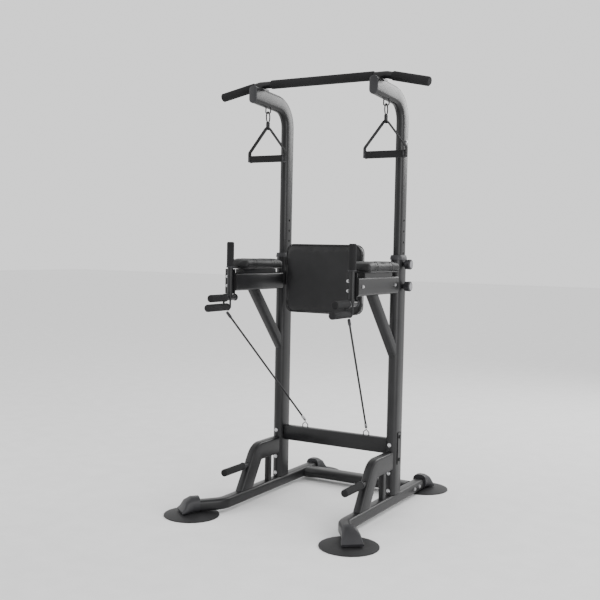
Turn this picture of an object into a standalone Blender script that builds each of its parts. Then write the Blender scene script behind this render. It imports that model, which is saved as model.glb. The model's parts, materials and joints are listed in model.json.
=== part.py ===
"""Power tower: two flat-oval uprights, telescoping head, dip arms, backrest and four suction feet.

Metres. X to the right, Y to the rear, Z up, floor at z = 0.
"""
import math

import bmesh
import bpy
from mathutils import Vector

for old in list(bpy.data.objects):
    bpy.data.objects.remove(old, do_unlink=True)

# Driving dimensions
HALF_SPAN = 0.305          # upright centre from the middle
FIT = 0.0004               # gap between pieces that touch
TUBE_W = 0.050             # lower upright, across
TUBE_D = 0.100             # lower upright, front to back
POST_W = 0.040             # upper post, across
POST_D = 0.080             # upper post, front to back
POST_Y = 0.006             # upper post sits slightly to the rear in its tube
TUBE_TOP = 1.150
POST_FOOT = 0.800
HEAD_Z = 1.890             # forward-reaching head of the upper post
HEAD_FRONT = -0.305
HOLE_PITCH = 0.050
HOLE_FIRST = 1.080
HOLE_COUNT = 6
RAIL = 0.050
RAIL_Z = 0.0395
RAIL_TOP = RAIL_Z + RAIL / 2
DISC_R = 0.124
FRONT_DISC = (0.392, -0.620)
REAR_DISC = (0.302, 0.380)
ARM_Z = 1.038              # dip arm centre height
ARM_FRONT = -0.456
UPRIGHT_FRONT = -TUBE_D / 2 - FIT
GRIP_R = 0.0165            # foam radius
BAR_R = 0.0125             # handle tube radius
STEM_Y = -0.472            # vertical grip tube
DIP_Z = 0.968
PULL_BAR = (-0.214, 1.9515)
RING_Y = -0.175
RING_Z = 1.828
BAND_X = 0.165
BAR_TOP = 0.322            # mid crossbar top
KNOB_Z = 1.130
CLAMP_Z = 1.030

STEEL = ("steel_black", (0.018, 0.018, 0.020), 0.6, 0.38)
FOAM = ("foam_black", (0.012, 0.012, 0.013), 0.0, 0.85)
VINYL = ("vinyl_black", (0.016, 0.016, 0.018), 0.0, 0.5)
RUBBER = ("rubber_black", (0.010, 0.010, 0.011), 0.0, 0.6)
PLASTIC = ("plastic_grey", (0.045, 0.045, 0.048), 0.0, 0.45)
WEBBING = ("webbing_black", (0.020, 0.020, 0.022), 0.0, 0.9)


def material(spec):
    name, colour, metal, rough = spec
    found = bpy.data.materials.get(name)
    if found:
        return found
    made = bpy.data.materials.new(name)
    made.use_nodes = True
    shader = made.node_tree.nodes["Principled BSDF"]
    shader.inputs["Base Color"].default_value = (*colour, 1)
    shader.inputs["Metallic"].default_value = metal
    shader.inputs["Roughness"].default_value = rough
    return made


def publish(name, bm, spec):
    bmesh.ops.recalc_face_normals(bm, faces=bm.faces)
    mesh = bpy.data.meshes.new(name)
    bm.to_mesh(mesh)
    bm.free()
    mesh.materials.append(material(spec))
    mesh.shade_smooth()
    mesh.set_sharp_from_angle(angle=math.radians(38))
    part = bpy.data.objects.new(name, mesh)
    bpy.context.collection.objects.link(part)
    return part


def oval(w, d, r, n=3):
    """Rounded rectangle, w along the reference direction."""
    points = []
    for quarter, (sx, sy) in enumerate(((1, 1), (-1, 1), (-1, -1), (1, -1))):
        for step in range(n + 1):
            angle = math.pi / 2 * (quarter + step / n)
            a = sx * (w / 2 - r) + r * math.cos(angle)
            b = sy * (d / 2 - r) + r * math.sin(angle)
            if not points or math.dist(points[-1], (a, b)) > 1e-5:
                points.append((a, b))
    if math.dist(points[0], points[-1]) < 1e-5:
        points.pop()
    return points


def rounded(points, radius, n=5):
    """Polyline with every inner corner turned into an arc of about the given radius."""
    points = [Vector(p) for p in points]
    out = [points[0]]
    for before, corner, after in zip(points, points[1:], points[2:]):
        u = (before - corner).normalized()
        v = (after - corner).normalized()
        half = u.angle(v) / 2
        reach = radius / math.tan(half)
        centre = corner + (u + v).normalized() * (radius / math.sin(half))
        start = corner + u * reach - centre
        end = corner + v * reach - centre
        turn = start.angle(end)
        for step in range(n + 1):
            t = step / n
            mix = start * math.sin((1 - t) * turn) + end * math.sin(t * turn)
            out.append(centre + mix / math.sin(turn))
    out.append(points[-1])
    return out


def sweep(name, path, sections, ref, spec, loop=False):
    """Carry a section along a path; a single section is used at every point."""
    path = [Vector(p) for p in path]
    ref = Vector(ref)
    count = len(path)
    if isinstance(sections[0][0], float):
        sections = [sections] * count
    bm = bmesh.new()
    rings = []
    for i, point in enumerate(path):
        ahead = path[(i + 1) % count] if loop or i < count - 1 else point
        behind = path[i - 1] if loop or i else point
        tangent = (ahead - point).normalized() + (point - behind).normalized()
        tangent.normalize()
        a = (ref - tangent * ref.dot(tangent)).normalized()
        b = tangent.cross(a)
        rings.append([bm.verts.new(point + a * p + b * q) for p, q in sections[i]])
    size = len(rings[0])
    for i in range(count if loop else count - 1):
        near, far = rings[i], rings[(i + 1) % count]
        for k in range(size):
            m = (k + 1) % size
            bm.faces.new((near[k], near[m], far[m], far[k]))
    if not loop:
        bm.faces.new(rings[0])
        bm.faces.new(rings[-1])
    return publish(name, bm, spec)


def lathe(name, origin, axis, profile, spec, n=14):
    """Revolve (distance, radius) pairs about an axis; a profile without zero radii closes on itself."""
    axis = Vector(axis).normalized()
    side = axis.orthogonal().normalized()
    other = axis.cross(side)
    bm = bmesh.new()
    rows = []
    for s, r in profile:
        centre = Vector(origin) + axis * s
        if r == 0:
            rows.append([bm.verts.new(centre)] * n)
            continue
        angles = [2 * math.pi * k / n for k in range(n)]
        rows.append([bm.verts.new(centre + side * r * math.cos(t) + other * r * math.sin(t)) for t in angles])
    pairs = list(zip(rows, rows[1:]))
    if profile[0][1] and profile[-1][1]:
        pairs.append((rows[-1], rows[0]))
    for near, far in pairs:
        for k in range(n):
            m = (k + 1) % n
            corners = []
            for vert in (near[k], near[m], far[m], far[k]):
                if vert not in corners:
                    corners.append(vert)
            bm.faces.new(corners)
    return publish(name, bm, spec)


def block(name, low, high, spec, bevel=0.0):
    bm = bmesh.new()
    bmesh.ops.create_cube(bm, size=1)
    low, high = Vector(low), Vector(high)
    for vert in bm.verts:
        vert.co = Vector((low[i] + (vert.co[i] + 0.5) * (high[i] - low[i]) for i in range(3)))
    if bevel:
        bmesh.ops.bevel(bm, geom=bm.edges[:], offset=bevel, segments=2, affect="EDGES", profile=0.5)
    return publish(name, bm, spec)


def combine(target, tool, kind):
    step = target.modifiers.new("combine", "BOOLEAN")
    step.operation = kind
    step.solver = "EXACT"
    step.object = tool
    graph = bpy.context.evaluated_depsgraph_get()
    mesh = bpy.data.meshes.new_from_object(target.evaluated_get(graph))
    target.modifiers.clear()
    target.data = mesh
    bpy.data.objects.remove(tool, do_unlink=True)


def sleeve(name, origin, axis, start, end, inner):
    """Foam grip pushed over a tube, closed with a cap at the far end."""
    r = GRIP_R
    profile = [(start, 0), (start, r - 0.002), (start + 0.002, r), (end - 0.004, r), (end, r - 0.004), (end, 0)]
    grip = lathe(name, origin, axis, profile, FOAM)
    floor = end - 0.006
    bore = lathe("bore", origin, axis, [(start - 0.01, 0), (start - 0.01, inner), (floor, inner), (floor, 0)], FOAM)
    combine(grip, bore, "DIFFERENCE")


def feet(x, tag):
    for place, (dx, dy) in (("front", FRONT_DISC), ("rear", REAR_DISC)):
        profile = [(0, 0), (0, DISC_R), (0.004, DISC_R), (0.009, DISC_R * 0.8)]
        profile += [(0.013, DISC_R * 0.35), (0.013, 0)]
        lathe(f"{place}_disc_{tag}", (math.copysign(dx, x), dy, 0), (0, 0, 1), profile, RUBBER, 24)


def boot(name, stations, spec):
    """Plastic shoe over a rail end; stations are (x, y, height, width) with a level underside."""
    base = RAIL_Z - RAIL / 2
    path = [(x, y, base + h / 2) for x, y, h, _ in stations]
    shapes = [oval(h, w, min(h, w) * 0.35) for _, _, h, w in stations]
    sweep(name, path, shapes, (0, 0, 1), spec)


def rails(x, tag):
    s = math.copysign(1, x)
    shape = oval(RAIL, RAIL, 0.012)
    front = rounded([(x, -0.0052, RAIL_Z), (x, -0.505, RAIL_Z), (x + s * 0.070, -0.593, RAIL_Z)], 0.09, 4)
    sweep(f"front_rail_{tag}", front, shape, (0, 0, 1), STEEL)
    sweep(f"rear_rail_{tag}", [(x, -0.0048, RAIL_Z), (x, 0.325, RAIL_Z)], shape, (0, 0, 1), STEEL)
    profile = ((0.0004, 0.068, 0.068), (0.030, 0.068, 0.070), (0.050, 0.054, 0.080), (0.068, 0.026, 0.090),
               (0.084, 0.012, 0.094))
    out = Vector((s * 0.070, -0.088)).normalized()
    boot(f"front_boot_{tag}", [(x + s * 0.070 + out.x * t, -0.593 + out.y * t, h, w) for t, h, w in profile], PLASTIC)
    boot(f"rear_boot_{tag}", [(x, 0.325 + t, h, w) for t, h, w in profile], PLASTIC)


def upright(x, tag):
    post = sweep(f"lower_upright_{tag}", [(x, 0, RAIL_TOP + FIT), (x, 0, TUBE_TOP)],
                 oval(TUBE_W, TUBE_D, 0.0249, 3), (1, 0, 0), STEEL)
    cavity = sweep("cavity", [(x, 0, 0.620), (x, 0, TUBE_TOP + 0.01)],
                   oval(0.0436, 0.0936, 0.0215, 3), (1, 0, 0), STEEL)
    combine(post, cavity, "DIFFERENCE")
    for z, direction in ((KNOB_Z, 1), (CLAMP_Z, math.copysign(1, x))):
        hole = lathe("hole", (x, 0, z), (direction, 0, 0), [(0.015, 0), (0.015, 0.0066), (0.03, 0.0066), (0.03, 0)],
                     STEEL, 12)
        combine(post, hole, "DIFFERENCE")
    ring = sweep(f"collar_{tag}", [(x, 0, TUBE_TOP + FIT), (x, 0, 1.162), (x, 0, 1.172)],
                 [oval(0.058, 0.108, 0.028, 3), oval(0.056, 0.106, 0.027, 3), oval(0.048, 0.100, 0.023, 3)],
                 (1, 0, 0), PLASTIC)
    opening = sweep("opening", [(x, POST_Y, 1.14), (x, POST_Y, 1.18)],
                    oval(POST_W + 0.001, POST_D + 0.001, 0.0204, 3), (1, 0, 0), STEEL)
    combine(ring, opening, "DIFFERENCE")
    s = math.copysign(1, x)
    low = (x + s * 0.0254, -0.018, 0.205)
    high = (x + s * 0.0294, 0.018, 0.353)
    plate = block(f"bolt_plate_{tag}", [min(p) for p in zip(low, high)], [max(p) for p in zip(low, high)], STEEL)
    for z in (0.226, 0.332):
        head = lathe("head", (x + s * 0.028, 0, z), (s, 0, 0), [(0, 0), (0, 0.0085), (0.006, 0.0075), (0.006, 0)],
                     STEEL, 12)
        combine(plate, head, "UNION")


def knob(name, x, z, direction):
    """Turned knob; its screw ends inside the wall of the lower tube."""
    profile = [(0.0216, 0), (0.0216, 0.006), (0.0275, 0.006), (0.0275, 0.012), (0.034, 0.012), (0.038, 0.022)]
    profile += [(0.060, 0.024), (0.064, 0.021), (0.064, 0)]
    lathe(name, (x, 0, z), (direction, 0, 0), profile, PLASTIC, 12)


def arch(x, tag):
    path = rounded([(x, UPRIGHT_FRONT, 0.225), (x, -0.230, 0.225), (x, -0.352, 0.030)], 0.05)
    frame = sweep(f"arch_brace_{tag}", path, oval(0.040, 0.085, 0.010), (1, 0, 0), STEEL)
    under = block("under", (x - 0.1, -0.6, -0.1), (x + 0.1, 0.1, RAIL_TOP + FIT), STEEL)
    combine(frame, under, "DIFFERENCE")
    strut = sweep("strut", [(x, -0.120, RAIL_TOP + FIT), (x, -0.120, 0.215)], oval(0.025, 0.030, 0.006), (1, 0, 0),
                  STEEL)
    combine(frame, strut, "UNION")
    stub = lathe("stub", (x, -0.25, 0.175), (0, -1, 0), [(0, 0), (0, BAR_R), (0.235, BAR_R), (0.235, 0)], STEEL, 14)
    combine(frame, stub, "UNION")
    sleeve(f"push_grip_{tag}", (x, -0.25, 0.175), (0, -1, 0), 0.086, 0.252, BAR_R + FIT)


def dip_station(x, tag):
    arm = sweep(f"dip_arm_{tag}", [(x, ARM_FRONT, ARM_Z), (x, UPRIGHT_FRONT, ARM_Z)], oval(0.050, 0.080, 0.010),
                (1, 0, 0), STEEL)
    saddle = block("saddle", (x - 0.022, -0.395, 1.07), (x + 0.022, -0.115, 1.0946), STEEL)
    combine(arm, saddle, "UNION")
    brace = sweep(f"diagonal_brace_{tag}", [(x, -0.300, 1.026), (x, -0.030, 0.719)], oval(0.040, 0.050, 0.012),
                  (1, 0, 0), STEEL)
    above = block("above", (x - 0.1, -0.5, 0.9976), (x + 0.1, 0.1, 1.2), STEEL)
    combine(brace, above, "DIFFERENCE")
    behind = block("behind", (x - 0.1, UPRIGHT_FRONT, 0.6), (x + 0.1, 0.1, 1.2), STEEL)
    combine(brace, behind, "DIFFERENCE")
    tube = block(f"grip_tube_{tag}", (x - 0.034, ARM_FRONT - 0.0044, 0.985), (x + 0.018, ARM_FRONT - FIT, 1.096), STEEL)
    stem = lathe("stem", (x, STEM_Y, DIP_Z), (0, 0, 1), [(0, 0), (0, BAR_R), (0.237, BAR_R), (0.237, 0)], STEEL, 14)
    combine(tube, stem, "UNION")
    handle = lathe("handle", (x, -0.435, DIP_Z), (0, -1, 0),
                   [(0, 0), (0, BAR_R + 0.0006), (0.17, BAR_R + 0.0006), (0.17, 0)], STEEL, 14)
    combine(tube, handle, "UNION")
    sleeve(f"top_grip_{tag}", (x, STEM_Y, DIP_Z), (0, 0, 1), 0.136, 0.249, BAR_R + FIT)
    sleeve(f"dip_grip_{tag}", (x, -0.435, DIP_Z), (0, -1, 0), 0.070, 0.190, BAR_R + 0.001)
    path = [(x, y, 1.1190) for y in (-0.415, -0.411, -0.400, -0.110, -0.099, -0.095)]
    shapes = [oval(0.104 - e, 0.048 - e, 0.017) for e in (0.012, 0.004, 0.0, 0.0, 0.004, 0.012)]
    sweep(f"armrest_pad_{tag}", path, shapes, (1, 0, 0), VINYL)


def head(x, tag):
    path = rounded([(x, POST_Y, POST_FOOT), (x, POST_Y, HEAD_Z - 0.012), (x, HEAD_FRONT, HEAD_Z + 0.006)], 0.105, 6)
    post = sweep(f"upper_post_{tag}", path, oval(POST_W, POST_D, 0.0199, 3), (1, 0, 0), STEEL)
    for i in range(HOLE_COUNT):
        hole = lathe("hole", (x, 0.006, HOLE_FIRST + i * HOLE_PITCH), (1, 0, 0),
                     [(-0.03, 0), (-0.03, 0.0055), (0.03, 0.0055), (0.03, 0)], STEEL, 8)
        combine(post, hole, "DIFFERENCE")
    saddle = block("saddle", (x - 0.011, PULL_BAR[0] - 0.026, 1.915), (x + 0.011, PULL_BAR[0] + 0.026, 1.9345), STEEL)
    combine(post, saddle, "UNION")
    hook = rounded([(x - 0.013, RING_Y, 1.860), (x - 0.013, RING_Y, RING_Z), (x + 0.013, RING_Y, RING_Z),
                    (x + 0.013, RING_Y, 1.860)], 0.006, 3)
    combine(post, sweep("hook", hook, oval(0.006, 0.006, 0.0029, 2), (0, 1, 0), STEEL), "UNION")


def swing_handle(x, tag):
    """Carabiner, webbing and grip that hang from the ring under the head."""
    top = RING_Z + 0.0066
    loop = [(x, RING_Y + 0.015 * math.sin(t), (top + 1.7845) / 2 + 0.025 * math.cos(t))
            for t in [2 * math.pi * k / 16 for k in range(16)]]
    strap = sweep(f"swing_strap_{tag}", loop, oval(0.006, 0.006, 0.0029, 2), (1, 0, 0), WEBBING, loop=True)
    web = rounded([(x - 0.1, RING_Y, 1.600), (x - 0.1, RING_Y, 1.645), (x, RING_Y, 1.7680),
                   (x + 0.1, RING_Y, 1.645), (x + 0.1, RING_Y, 1.600)], 0.012, 3)
    combine(strap, sweep("web", web, oval(0.025, 0.004, 0.0015, 2), (0, 1, 0), WEBBING), "UNION")
    tail = block("tail", (x - 0.004, RING_Y - 0.0105, 1.750), (x + 0.004, RING_Y + 0.0105, 1.7860), WEBBING)
    combine(strap, tail, "UNION")
    profile = [(-0.0976, 0), (-0.0976, 0.015), (-0.095, GRIP_R), (0.095, GRIP_R), (0.0976, 0.015), (0.0976, 0)]
    lathe(f"swing_grip_{tag}", (x, RING_Y, 1.614), (1, 0, 0), profile, FOAM)


def band_set(x, tag):
    """Resistance band from the crossbar ring to a webbing loop over the dip tube, with its own grip."""
    y = -0.494
    arc = [math.pi * k / 10 for k in range(11)]
    loop = [(x + 0.0175 * math.cos(t), y, DIP_Z + 0.0175 * math.sin(t)) for t in arc]
    loop += [(x - 0.0175, y, 0.925), (x - 0.008, y, 0.912), (x + 0.008, y, 0.912), (x + 0.0175, y, 0.925)]
    grip = sweep(f"band_grip_{tag}", loop, oval(0.013, 0.003, 0.0012, 2), (0, 1, 0), WEBBING, loop=True)
    body = lathe("body", (x, y + 0.004, 0.927), (0, -1, 0),
                 [(0, 0), (0, 0.014), (0.004, GRIP_R), (0.152, GRIP_R), (0.156, 0.014), (0.156, 0)], FOAM)
    combine(grip, body, "UNION")
    s = math.copysign(1, x)
    path = [(s * BAND_X, -0.0075, 0.3560), (x, y + 0.001, 0.9030)]
    sweep(f"band_{tag}", path, oval(0.009, 0.009, 0.0044, 3), (1, 0, 0), RUBBER)


for tag, x in (("left", -HALF_SPAN), ("right", HALF_SPAN)):
    feet(x, tag)
    rails(x, tag)
    upright(x, tag)
    arch(x, tag)
    dip_station(x, tag)
    head(x, tag)
    swing_handle(x, tag)
    band_set(x, tag)
    knob(f"height_knob_{tag}", x, KNOB_Z, 1)
    knob(f"clamp_knob_{tag}", x, CLAMP_Z, math.copysign(1, x))

INNER = HALF_SPAN - TUBE_W / 2 - FIT

# Crossbars between the uprights and between the rails
lower_bar = block("mid_crossbar", (-INNER, -0.025, 0.250), (INNER, 0.010, BAR_TOP), STEEL, 0.006)
for x in (-BAND_X, BAND_X):
    ring = [(x - 0.014, -0.0075, 0.318), (x - 0.014, -0.0075, 0.336), (x, -0.0075, 0.348)]
    ring += [(x + 0.014, -0.0075, 0.336), (x + 0.014, -0.0075, 0.318)]
    combine(lower_bar, sweep("ring", ring, oval(0.005, 0.005, 0.0024, 2), (0, 1, 0), STEEL), "UNION")
sweep("rear_crossbar", [(-INNER, 0.235, RAIL_Z), (INNER, 0.235, RAIL_Z)], oval(0.090, 0.046, 0.0225, 3), (0, 1, 0),
      STEEL)

# Backrest: square stem slides through the bar, held by a knob on top
back_bar = block("backrest_bar", (-INNER, -0.035, 1.016), (INNER, -0.005, 1.084), STEEL, 0.005)
combine(back_bar, block("socket", (-0.0156, -0.1, 1.0344), (0.0156, 0.1, 1.0656), STEEL), "DIFFERENCE")
bore = lathe("bore", (0, -0.02, 1.06), (0, 0, 1), [(0, 0), (0, 0.0056), (0.04, 0.0056), (0.04, 0)], STEEL, 12)
combine(back_bar, bore, "DIFFERENCE")
back_stem = block("backrest_stem", (-0.015, -0.1225, 1.035), (0.015, 0.085, 1.065), STEEL)
combine(back_stem, block("plate", (-0.07, -0.1246, 0.975), (0.07, -0.1206, 1.125), STEEL), "UNION")
lathe("backrest_knob", (0, -0.02, 1.0660), (0, 0, 1),
      [(0, 0), (0, 0.005), (0.0190, 0.005), (0.0190, 0.011), (0.028, 0.012), (0.032, 0.019), (0.048, 0.020),
       (0.050, 0.017), (0.050, 0)], PLASTIC, 12)
pad_path = [(0, y, 1.055) for y in (-0.175, -0.172, -0.163, -0.136, -0.128, -0.125)]
pad_shapes = [oval(0.390 - e, 0.318 - e, 0.038 - e / 4) for e in (0.022, 0.006, 0.0, 0.0, 0.006, 0.018)]
sweep("backrest_pad", pad_path, pad_shapes, (1, 0, 0), VINYL)

# Pull-up bar: straight between the heads, turned down and forward at both ends
y, z = PULL_BAR
bar_path = [(-0.516, y - 0.0134, z - 0.044), (-0.324, y, z), (0.324, y, z), (0.516, y - 0.0134, z - 0.044)]
sweep("pull_up_bar", rounded(bar_path, 0.04, 3), oval(0.033, 0.033, 0.0164, 4), (0, 1, 0), STEEL)
foam_profile = [(-0.262, 0.0170), (-0.262, 0.0195), (-0.259, 0.0205), (0.259, 0.0205), (0.262, 0.0195), (0.262, 0.0170)]
lathe("bar_foam", (0, y, z), (1, 0, 0), foam_profile, FOAM)
for tag, s in (("left", -1), ("right", 1)):
    start = Vector((s * 0.324, y, z))
    end = Vector((s * 0.516, y - 0.0134, z - 0.044))
    axis = end - start
    full = axis.length
    profile = [(0.030, 0), (0.030, 0.019), (0.033, 0.0205), (full + 0.008, 0.0205), (full + 0.012, 0.017)]
    grip = lathe(f"bar_end_grip_{tag}", start, axis, profile + [(full + 0.012, 0)], FOAM)
    bore = lathe("bore", start, axis, [(0.02, 0), (0.02, 0.0170), (full + 0.001, 0.0170), (full + 0.001, 0)], FOAM)
    combine(grip, bore, "DIFFERENCE")
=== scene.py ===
"""Looks for the power tower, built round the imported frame. Metres, floor at z = 0."""

import json
import math

import bmesh
import bpy
from mathutils import Matrix, Vector


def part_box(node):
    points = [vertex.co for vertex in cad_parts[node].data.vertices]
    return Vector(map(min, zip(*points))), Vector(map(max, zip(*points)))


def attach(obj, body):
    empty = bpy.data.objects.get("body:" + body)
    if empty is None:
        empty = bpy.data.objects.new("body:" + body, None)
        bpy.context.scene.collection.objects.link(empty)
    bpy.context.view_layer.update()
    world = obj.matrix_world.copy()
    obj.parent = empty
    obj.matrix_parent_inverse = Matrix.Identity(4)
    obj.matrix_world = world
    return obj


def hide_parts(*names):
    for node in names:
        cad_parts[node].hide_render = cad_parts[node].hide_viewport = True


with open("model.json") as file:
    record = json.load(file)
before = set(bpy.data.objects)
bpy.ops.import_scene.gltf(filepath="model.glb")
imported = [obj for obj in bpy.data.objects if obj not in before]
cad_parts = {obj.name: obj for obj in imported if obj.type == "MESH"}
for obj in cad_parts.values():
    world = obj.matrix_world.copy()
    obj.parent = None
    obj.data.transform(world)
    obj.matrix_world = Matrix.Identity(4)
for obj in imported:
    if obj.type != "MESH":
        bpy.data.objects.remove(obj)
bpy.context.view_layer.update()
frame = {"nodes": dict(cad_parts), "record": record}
SIDES = (("left", -1), ("right", 1))
HALF_SPAN = 0.305            # upright centre from the middle
TUBE_SIDE = 0.0252           # outer side of a lower tube, with its bolt's gap
POST_SIDE = 0.0202           # the same on an upper post
KNOB_Z = 1.13
CLAMP_Z = 1.03
KNOB_FACE = 0.0642           # knob's end from the tube's centre
DIP_Z = 0.968
STEM_Y = -0.472
HANG_Y = -0.175              # hanging grips
HANG_Z = 1.614
PUSH_Z = 0.175
ARM_Z = 1.038
RAIL_Z = 0.0395
VOXEL = 0.006
CLOTH_FRAMES = 20
X, Y, Z = Vector((1, 0, 0)), Vector((0, 1, 0)), Vector((0, 0, 1))

# Camera
camera = bpy.data.objects.new("camera", bpy.data.cameras.new("camera"))
bpy.context.scene.collection.objects.link(camera)
camera.data.lens = 53.94
turn = Matrix.Rotation(math.radians(29.86), 4, "Z")
tilt = Matrix.Rotation(math.radians(90 - 3.205), 4, "X")
roll = Matrix.Rotation(math.radians(1.105), 4, "Z")
camera.matrix_world = Matrix.Translation((1.9744, -3.8095, 1.1882)) @ turn @ tilt @ roll
bpy.context.scene.camera = camera


def finish_material(name, dark, light, rough, metal=0.0, scale=300.0, bump=0.1, kind="noise", painted_edge_highlight=0.0):
    """Procedural surface: mottled colour and roughness, a grain or weave bump, and paler convex edges as a painted edge
    highlight.
    """
    made = bpy.data.materials.new(name)
    made.use_nodes = True
    nodes, links = made.node_tree.nodes, made.node_tree.links
    shader = nodes["Principled BSDF"]
    shader.inputs["Metallic"].default_value = metal
    shader.inputs["Specular IOR Level"].default_value = 0.5 if metal else 0.3
    place = nodes.new("ShaderNodeTexCoord")
    cloud = nodes.new("ShaderNodeTexNoise")
    cloud.inputs["Scale"].default_value = 9.0
    cloud.inputs["Detail"].default_value = 6.0
    links.new(place.outputs["Object"], cloud.inputs["Vector"])
    ramp = nodes.new("ShaderNodeValToRGB")
    ramp.color_ramp.elements[0].position = 0.35
    ramp.color_ramp.elements[1].position = 0.7
    ramp.color_ramp.elements[0].color = (*dark, 1)
    ramp.color_ramp.elements[1].color = (*light, 1)
    links.new(cloud.outputs["Fac"], ramp.inputs["Fac"])
    colour = ramp.outputs["Color"]
    # Painted highlight: convex edges (high pointiness) are mixed towards pale grey, standing in for light catching the
    # edges of the tubes.
    if painted_edge_highlight:
        shape = nodes.new("ShaderNodeNewGeometry")
        edge = nodes.new("ShaderNodeValToRGB")
        edge.color_ramp.elements[0].position = 0.56
        edge.color_ramp.elements[1].position = 0.72
        edge.color_ramp.elements[1].color = (painted_edge_highlight, painted_edge_highlight, painted_edge_highlight, 1)
        links.new(shape.outputs["Pointiness"], edge.inputs["Fac"])
        mix = nodes.new("ShaderNodeMix")
        mix.data_type = "RGBA"
        mix.inputs[7].default_value = (0.16, 0.16, 0.165, 1)
        links.new(edge.outputs["Color"], mix.inputs[0])
        links.new(colour, mix.inputs[6])
        colour = mix.outputs[2]
    links.new(colour, shader.inputs["Base Color"])
    spread = nodes.new("ShaderNodeMapRange")
    spread.inputs["To Min"].default_value = rough - 0.07
    spread.inputs["To Max"].default_value = rough + 0.07
    links.new(cloud.outputs["Fac"], spread.inputs["Value"])
    links.new(spread.outputs["Result"], shader.inputs["Roughness"])
    if kind == "grain":
        detail = nodes.new("ShaderNodeTexVoronoi")
        height = detail.outputs["Distance"]
    elif kind == "weave":
        detail = nodes.new("ShaderNodeTexWave")
        detail.bands_direction = "DIAGONAL"
        detail.inputs["Distortion"].default_value = 0.6
        height = detail.outputs["Fac"]
    else:
        detail = nodes.new("ShaderNodeTexNoise")
        height = detail.outputs["Fac"]
    detail.inputs["Scale"].default_value = scale
    links.new(place.outputs["Object"], detail.inputs["Vector"])
    lift = nodes.new("ShaderNodeBump")
    lift.inputs["Strength"].default_value = bump
    lift.inputs["Distance"].default_value = 0.001
    links.new(height, lift.inputs["Height"])
    links.new(lift.outputs["Normal"], shader.inputs["Normal"])
    return made


LOOKS = {
    # The powder coat gets the painted edge highlight on its convex edges.
    "steel_black": finish_material("powder_coat", (0.007, 0.007, 0.0075), (0.013, 0.013, 0.014), 0.34, 0.0, 900, 0.12,
                                   painted_edge_highlight=0.06),
    "foam_black": finish_material("foam", (0.006, 0.006, 0.0065), (0.012, 0.012, 0.013), 0.82, 0, 1400, 0.5),
    "vinyl_black": finish_material("vinyl", (0.007, 0.007, 0.0075), (0.013, 0.013, 0.014), 0.46, 0, 650, 0.35, "grain"),
    "rubber_black": finish_material("rubber", (0.010, 0.010, 0.011), (0.019, 0.019, 0.020), 0.55, 0, 500, 0.2),
    "plastic_grey": finish_material("plastic", (0.018, 0.018, 0.020), (0.030, 0.030, 0.033), 0.42, 0, 1100, 0.2),
    "webbing_black": finish_material("webbing", (0.012, 0.012, 0.013), (0.030, 0.030, 0.032), 0.88, 0, 420, 0.8,
                                     "weave"),
}
ZINC = finish_material("zinc", (0.42, 0.42, 0.43), (0.62, 0.62, 0.63), 0.32, 0.95, 700, 0.1)
CAP = finish_material("cap_grey", (0.20, 0.20, 0.21), (0.28, 0.28, 0.29), 0.5, 0, 900, 0.15)

for part in frame["record"]["subparts"]:
    node = frame["nodes"][part["node"]]
    node.data.materials.clear()
    node.data.materials.append(LOOKS[part["material_slot"]])
    weld = node.modifiers.new("weld", "WELD")
    weld.merge_threshold = 0.00005
    node.data.shade_smooth()
    split = node.modifiers.new("edges", "EDGE_SPLIT")
    split.split_angle = math.radians(32)


def publish(name, bm, look, body):
    bmesh.ops.recalc_face_normals(bm, faces=bm.faces)
    mesh = bpy.data.meshes.new(name)
    bm.to_mesh(mesh)
    bm.free()
    mesh.materials.append(look)
    mesh.shade_smooth()
    mesh.set_sharp_from_angle(angle=math.radians(40))
    piece = bpy.data.objects.new(name, mesh)
    bpy.context.scene.collection.objects.link(piece)
    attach(piece, body)
    return piece


def turned(name, origin, axis, profile, look, body, n=32):
    """Revolve (distance, radius) pairs about an axis."""
    axis = Vector(axis).normalized()
    side = axis.orthogonal().normalized()
    other = axis.cross(side)
    bm = bmesh.new()
    rows = []
    for s, r in profile:
        angles = [2 * math.pi * k / n for k in range(n)]
        rows.append([bm.verts.new(Vector(origin) + axis * s + (side * math.cos(t) + other * math.sin(t)) * r)
                     for t in angles])
    for near, far in zip(rows, rows[1:]):
        for k in range(n):
            bm.faces.new((near[k], near[(k + 1) % n], far[(k + 1) % n], far[k]))
    bm.faces.new(rows[0])
    bm.faces.new(rows[-1])
    return publish(name, bm, look, body)


def tube(name, points, radius, look, body, loop=False, n=10):
    points = [Vector(p) for p in points]
    count = len(points)
    bm = bmesh.new()
    rows = []
    for i, point in enumerate(points):
        ahead = points[(i + 1) % count] if loop or i < count - 1 else point
        behind = points[i - 1] if loop or i else point
        tangent = (ahead - behind).normalized()
        guide = X if abs(tangent.x) < 0.9 else Z
        a = tangent.cross(guide).normalized()
        b = tangent.cross(a)
        rows.append([bm.verts.new(point + (a * math.cos(t) + b * math.sin(t)) * radius)
                     for t in [2 * math.pi * k / n for k in range(n)]])
    for i in range(count if loop else count - 1):
        for k in range(n):
            m = (k + 1) % n
            bm.faces.new((rows[i][k], rows[i][m], rows[(i + 1) % count][m], rows[(i + 1) % count][k]))
    if not loop:
        bm.faces.new(rows[0])
        bm.faces.new(rows[-1])
    return publish(name, bm, look, body)


def bolt(name, origin, axis, body, size=0.0075):
    """Washer and domed hexagon head."""
    turned(name + "_washer", origin, axis, [(0.0002, size * 1.25), (0.0016, size * 1.25), (0.0018, size)], ZINC, body)
    turned(name, origin, axis, [(0.0018, size), (0.0055, size), (0.0065, size * 0.85), (0.0068, size * 0.3)], ZINC,
           body, 6)


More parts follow.
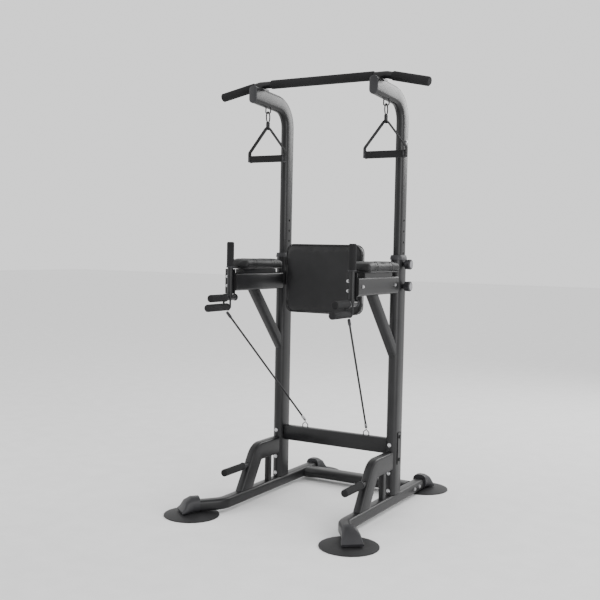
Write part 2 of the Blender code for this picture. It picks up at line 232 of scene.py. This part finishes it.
# Bands, stretched between the crossbar rings and the dip tubes
for side, s in SIDES:
    low, high = Vector((s * 0.165, -0.0075, 0.356)), Vector((s * HALF_SPAN, -0.493, 0.903))
    route = [low.lerp(high, k / 20) for k in range(21)]
    band = tube(f"band_tube_{side}", route, 0.0045, LOOKS["rubber_black"], "base")
    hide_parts(f"band_{side}")
    along = (high - low).normalized()
    cuff = [(0, 0.0052), (0.004, 0.0068), (0.030, 0.0068), (0.036, 0.0050)]
    turned(f"band_clip_{side}", low, along, cuff, ZINC, "base", 20)
    turned(f"band_cuff_{side}", high, -along, cuff, LOOKS["plastic_grey"], "base", 20)


def cushion(name, node, body, cap):
    """Inflate a slightly smaller copy of the pad, so that its faces crown and its edges stay soft."""
    low, high = (Vector(c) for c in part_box(node))
    middle = (low + high) / 2
    size = high - low
    source = frame["nodes"][node]
    mesh = source.data.copy()
    pad = bpy.data.objects.new(name, mesh)
    bpy.context.scene.collection.objects.link(pad)
    thin = min(size)
    shrink = Vector([(d - 0.008) / d if d == thin else 1.0 for d in size])
    for vert in mesh.vertices:
        offset = vert.co - middle
        vert.co = middle + Vector((offset.x * shrink.x, offset.y * shrink.y, offset.z * shrink.z))
    remesh = pad.modifiers.new("remesh", "REMESH")
    remesh.mode = "VOXEL"
    remesh.voxel_size = VOXEL
    graph = bpy.context.evaluated_depsgraph_get()
    pad.data = bpy.data.meshes.new_from_object(pad.evaluated_get(graph))
    pad.modifiers.clear()
    rest = [v.co.copy() for v in pad.data.vertices]
    cloth = pad.modifiers.new("cloth", "CLOTH")
    cloth.settings.use_pressure = True
    cloth.settings.uniform_pressure_force = 4
    cloth.settings.effector_weights.gravity = 0
    cloth.point_cache.frame_start = 1
    cloth.point_cache.frame_end = CLOTH_FRAMES
    for number in range(1, CLOTH_FRAMES + 1):
        bpy.context.scene.frame_set(number)
    graph = bpy.context.evaluated_depsgraph_get()
    puffed = bpy.data.meshes.new_from_object(pad.evaluated_get(graph))
    pad.modifiers.clear()
    pad.data = puffed
    for vert, start in zip(puffed.vertices, rest):
        step = vert.co - start
        if step.length > cap:
            vert.co = start + step.normalized() * cap
    bpy.context.scene.frame_set(1)
    # Fit the result back into the pad's own box
    points = [v.co.copy() for v in pad.data.vertices]
    for i in range(3):
        lowest, highest = min(p[i] for p in points), max(p[i] for p in points)
        for vert in pad.data.vertices:
            vert.co[i] = low[i] + (vert.co[i] - lowest) / (highest - lowest) * size[i]
    subdivide = pad.modifiers.new("subdivide", "SUBSURF")
    subdivide.levels = 1
    subdivide.render_levels = 1
    pad.data.materials.clear()
    pad.data.materials.append(LOOKS["vinyl_black"])
    pad.data.shade_smooth()
    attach(pad, body)
    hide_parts(node)
    return low, high


def ring_points(middle, a, b, half_a, half_b, corner, n=6):
    """Rounded rectangle round a point, in the plane of two directions."""
    points = []
    for quarter, (p, q) in enumerate(((1, 1), (-1, 1), (-1, -1), (1, -1))):
        for step in range(n + 1):
            t = math.pi / 2 * (quarter + step / n)
            points.append(middle + a * (p * (half_a - corner) + corner * math.cos(t))
                          + b * (q * (half_b - corner) + corner * math.sin(t)))
    return points


for side, s in SIDES:
    low, high = cushion(f"armrest_cushion_{side}", f"armrest_pad_{side}", "base", 0.007)
    middle = (low + high) / 2
    for number, y in enumerate((middle.y - 0.075, middle.y + 0.075)):
        seam = ring_points(Vector((middle.x, y, middle.z)), X, Z, 0.0515, 0.0235, 0.019)
        tube(f"armrest_seam_{side}_{number}", seam, 0.0012, LOOKS["vinyl_black"], "base", True, 8)
    bed = ring_points(Vector((middle.x, middle.y, low.z + 0.004)), X, Y, 0.0485, 0.156, 0.018)
    tube(f"armrest_piping_{side}", bed, 0.0024, LOOKS["vinyl_black"], "base", True, 8)

low, high = cushion("backrest_cushion", "backrest_pad", "backrest", 0.010)
middle = (low + high) / 2
for number, y in enumerate((low.y + 0.010, high.y - 0.008)):
    edge = ring_points(Vector((middle.x, y, middle.z)), X, Z, 0.1935, 0.1575, 0.036)
    tube(f"backrest_piping_{number}", edge, 0.0024, LOOKS["vinyl_black"], "backrest", True, 8)

for side, s in SIDES:
    x = s * HALF_SPAN
    for number, height in enumerate((0.298, 0.1676, 0.085)):
        bolt(f"front_bolt_{side}_{number}", (x, -0.0502, height), -Y, "base")
    for number, y in enumerate((0.205, 0.265)):
        bolt(f"rail_bolt_{side}_{number}", (x + s * TUBE_SIDE, y, RAIL_Z), X * s, "base")
    for number, (dx, height) in enumerate(((-0.024, 1.061), (-0.024, 1.02))):
        bolt(f"flange_bolt_{side}_{number}", (x + dx, -0.4606, height), -Y, "base", 0.0055)
    for number, y in enumerate((-0.09, -0.42)):
        bolt(f"arm_bolt_{side}_{number}", (x + s * TUBE_SIDE, y, ARM_Z), X * s, "base", 0.006)
    bolt(f"post_bolt_{side}", (x + s * POST_SIDE, 0.006, 1.688), X * s, "upper_frame", 0.006)
    # Grip end rings and caps
    ring = [(0, 0.0170), (0.001, 0.0182), (0.005, 0.0182), (0.006, 0.0170)]
    turned(f"push_ring_{side}", (x, -0.342, PUSH_Z), -Y, ring, LOOKS["plastic_grey"], "base")
    turned(f"dip_ring_{side}", (x, -0.507, DIP_Z), -Y, ring, LOOKS["plastic_grey"], "base")
    turned(f"dip_cap_{side}", (x, -0.434, DIP_Z), Y, [(0, 0.0145), (0.001, 0.016), (0.004, 0.016), (0.006, 0.011)],
           LOOKS["plastic_grey"], "base")
    turned(f"top_ring_{side}", (x, STEM_Y, 1.102), Z, ring, LOOKS["plastic_grey"], "base")
    for end in (-1, 1):
        turned(f"swing_cap_{side}_{'low' if end < 0 else 'high'}", (x + end * 0.089, HANG_Y, HANG_Z), X * end,
               [(0, 0.0167), (0.001, 0.0178), (0.006, 0.0178), (0.0085, 0.015)], LOOKS["plastic_grey"],
               f"swing_{side}")
    # Light faces on the knobs
    turned(f"height_knob_face_{side}", (x + KNOB_FACE, 0, KNOB_Z), X, [(0, 0.0165), (0.001, 0.0160), (0.0015, 0.010)], CAP,
           f"height_knob_body_{side}")
    turned(f"clamp_knob_face_{side}", (x + s * KNOB_FACE, 0, CLAMP_Z), X * s, [(0, 0.0165), (0.001, 0.0160),
           (0.0015, 0.010)], CAP, f"clamp_knob_body_{side}")
    # Cap over the front end of the head
    bm = bmesh.new()
    rows = []
    for out, inset in ((0.0, 0.0), (0.005, 0.0005), (0.008, 0.004), (0.009, 0.010)):
        centre = Vector((x, -0.3053 - out, 1.8957))
        rows.append([bm.verts.new(p) for p in ring_points(centre, X, Z, 0.0204 - inset, 0.0404 - inset,
                                                          0.0200 - inset)])
    for near, far in zip(rows, rows[1:]):
        for k in range(len(near)):
            m = (k + 1) % len(near)
            bm.faces.new((near[k], near[m], far[m], far[k]))
    bm.faces.new(rows[0])
    bm.faces.new(rows[-1])
    publish(f"head_cap_{side}", bm, LOOKS["plastic_grey"], "upper_frame")

# Floor and light
bm = bmesh.new()
bmesh.ops.create_grid(bm, x_segments=1, y_segments=1, size=30)
mesh = bpy.data.meshes.new("floor")
bm.to_mesh(mesh)
bm.free()
floor = bpy.data.objects.new("floor", mesh)
bpy.context.scene.collection.objects.link(floor)
floor.location.z = -0.0005
mesh.materials.append(finish_material("floor", (0.86, 0.86, 0.86), (0.90, 0.90, 0.90), 0.8, 0, 40, 0.02))
world = bpy.data.worlds.new("studio")
bpy.context.scene.world = world
world.use_nodes = True
world.node_tree.nodes["Background"].inputs["Color"].default_value = (1, 1, 1, 1)
world.node_tree.nodes["Background"].inputs["Strength"].default_value = 1.25
for name, place, power, size in (("key", (5.0, -1.8, 1.6), 120, 3.0), ("fill", (-3.5, -2.5, 2.5), 30, 3.0),
                                 ("rim", (1.5, 3.5, 3.0), 90, 2.0)):
    lamp = bpy.data.objects.new(name, bpy.data.lights.new(name, "AREA"))
    lamp.data.energy = power
    lamp.data.size = size
    lamp.location = place
    lamp.rotation_euler = (Vector((0, 0, 1)) - lamp.location).to_track_quat("-Z", "Y").to_euler()
    bpy.context.scene.collection.objects.link(lamp)
